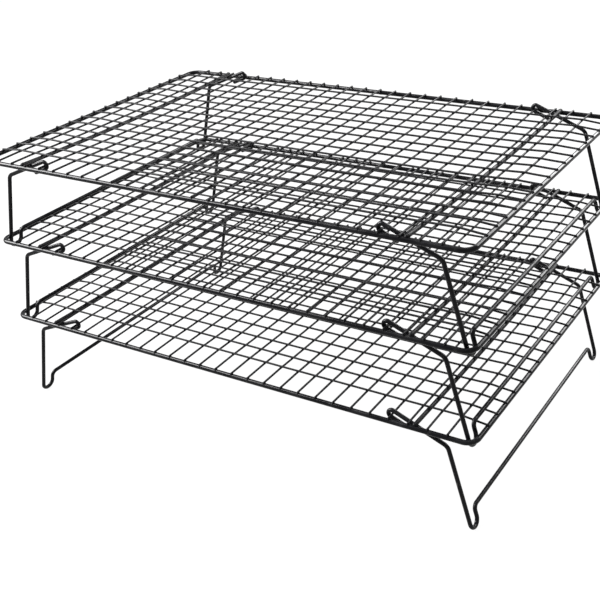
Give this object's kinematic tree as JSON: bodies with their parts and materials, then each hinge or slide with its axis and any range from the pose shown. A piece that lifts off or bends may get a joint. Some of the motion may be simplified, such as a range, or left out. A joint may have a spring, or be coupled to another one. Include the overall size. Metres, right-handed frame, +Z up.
{
  "type": "cooling rack",
  "caption": "Stack of wire cooling racks for baked goods, each a fine grid in a round-cornered frame ring with folding bent-wire legs whose feet drop into the rack below.",
  "frame": {"origin": "middle of the footprint, on the surface the feet stand on", "axes": "+X along the rack's length, +Y to the back, +Z up"},
  "size_m": [0.403, 0.255, 0.2127],
  "materials": {
    "frame_coating": "glossy black nonstick coating",
    "grid_coating": "glossy black nonstick coating, thin at the crests of the wires",
    "rod_coating": "glossy black nonstick coating",
    "leg_coating": "glossy black nonstick coating, worn a little where the wire rubs"
  },
  "bodies": {
    "bottom_rack": {"bottom_frame": "frame_coating", "bottom_mat": "grid_coating", "bottom_long_wire_02": "grid_coating", "bottom_long_wire_03": "grid_coating", "bottom_long_wire_04": "grid_coating", "bottom_long_wire_05": "grid_coating", "bottom_long_wire_06": "grid_coating", "bottom_long_wire_07": "grid_coating", "bottom_long_wire_08": "grid_coating", "bottom_long_wire_09": "grid_coating", "bottom_long_wire_10": "grid_coating", "bottom_long_wire_11": "grid_coating", "bottom_long_wire_12": "grid_coating", "bottom_long_wire_13": "grid_coating", "bottom_long_wire_14": "grid_coating", "bottom_long_wire_15": "grid_coating", "bottom_rod_left": "rod_coating", "bottom_rod_right": "rod_coating"},
    "bottom_left_leg": {"bottom_leg_left": "leg_coating"},
    "bottom_right_leg": {"bottom_leg_right": "leg_coating"},
    "middle_rack": {"middle_frame": "frame_coating", "middle_mat": "grid_coating", "middle_long_wire_02": "grid_coating", "middle_long_wire_03": "grid_coating", "middle_long_wire_04": "grid_coating", "middle_long_wire_05": "grid_coating", "middle_long_wire_06": "grid_coating", "middle_long_wire_07": "grid_coating", "middle_long_wire_08": "grid_coating", "middle_long_wire_09": "grid_coating", "middle_long_wire_10": "grid_coating", "middle_long_wire_11": "grid_coating", "middle_long_wire_12": "grid_coating", "middle_long_wire_13": "grid_coating", "middle_long_wire_14": "grid_coating", "middle_long_wire_15": "grid_coating", "middle_rod_left": "rod_coating", "middle_rod_right": "rod_coating"},
    "middle_left_leg": {"middle_leg_left": "leg_coating"},
    "middle_right_leg": {"middle_leg_right": "leg_coating"},
    "top_rack": {"top_frame": "frame_coating", "top_mat": "grid_coating", "top_long_wire_02": "grid_coating", "top_long_wire_03": "grid_coating", "top_long_wire_04": "grid_coating", "top_long_wire_05": "grid_coating", "top_long_wire_06": "grid_coating", "top_long_wire_07": "grid_coating", "top_long_wire_08": "grid_coating", "top_long_wire_09": "grid_coating", "top_long_wire_10": "grid_coating", "top_long_wire_11": "grid_coating", "top_long_wire_12": "grid_coating", "top_long_wire_13": "grid_coating", "top_long_wire_14": "grid_coating", "top_long_wire_15": "grid_coating", "top_rod_left": "rod_coating", "top_rod_right": "rod_coating"},
    "top_left_leg": {"top_leg_left": "leg_coating"},
    "top_right_leg": {"top_leg_right": "leg_coating"}
  },
  "joints": [
    {"name": "bottom_left_fold", "type": "hinge", "parent": "bottom_rack", "child": "bottom_left_leg", "pos_m": [-0.14, 0, 0.0765], "axis": [0, -1, 0], "range_deg": [0, 124.5]},
    {"name": "bottom_right_fold", "type": "hinge", "parent": "bottom_rack", "child": "bottom_right_leg", "pos_m": [0.14, 0, 0.0765], "axis": [0, 1, 0], "range_deg": [0, 124.5]},
    {"name": "middle_lift", "type": "slide", "parent": "bottom_rack", "child": "middle_rack", "axis": [0, 0, 1], "range_m": [0, 0.3]},
    {"name": "middle_left_fold", "type": "hinge", "parent": "middle_rack", "child": "middle_left_leg", "pos_m": [-0.14, 0, 0.14235], "axis": [0, -1, 0], "range_deg": [0, 124.5]},
    {"name": "middle_right_fold", "type": "hinge", "parent": "middle_rack", "child": "middle_right_leg", "pos_m": [0.14, 0, 0.14235], "axis": [0, 1, 0], "range_deg": [0, 124.5]},
    {"name": "top_lift", "type": "slide", "parent": "middle_rack", "child": "top_rack", "axis": [0, 0, 1], "range_m": [0, 0.3]},
    {"name": "top_left_fold", "type": "hinge", "parent": "top_rack", "child": "top_left_leg", "pos_m": [-0.14, 0, 0.2082], "axis": [0, -1, 0], "range_deg": [0, 124.5]},
    {"name": "top_right_fold", "type": "hinge", "parent": "top_rack", "child": "top_right_leg", "pos_m": [0.14, 0, 0.2082], "axis": [0, 1, 0], "range_deg": [0, 124.5]}
  ],
  "couplings": [
    {"joint": "middle_left_fold", "follows": "middle_lift", "rad_per_m": 7.243},
    {"joint": "middle_right_fold", "follows": "middle_lift", "rad_per_m": 7.243},
    {"joint": "top_left_fold", "follows": "top_lift", "rad_per_m": 7.243},
    {"joint": "top_right_fold", "follows": "top_lift", "rad_per_m": 7.243}
  ]
}
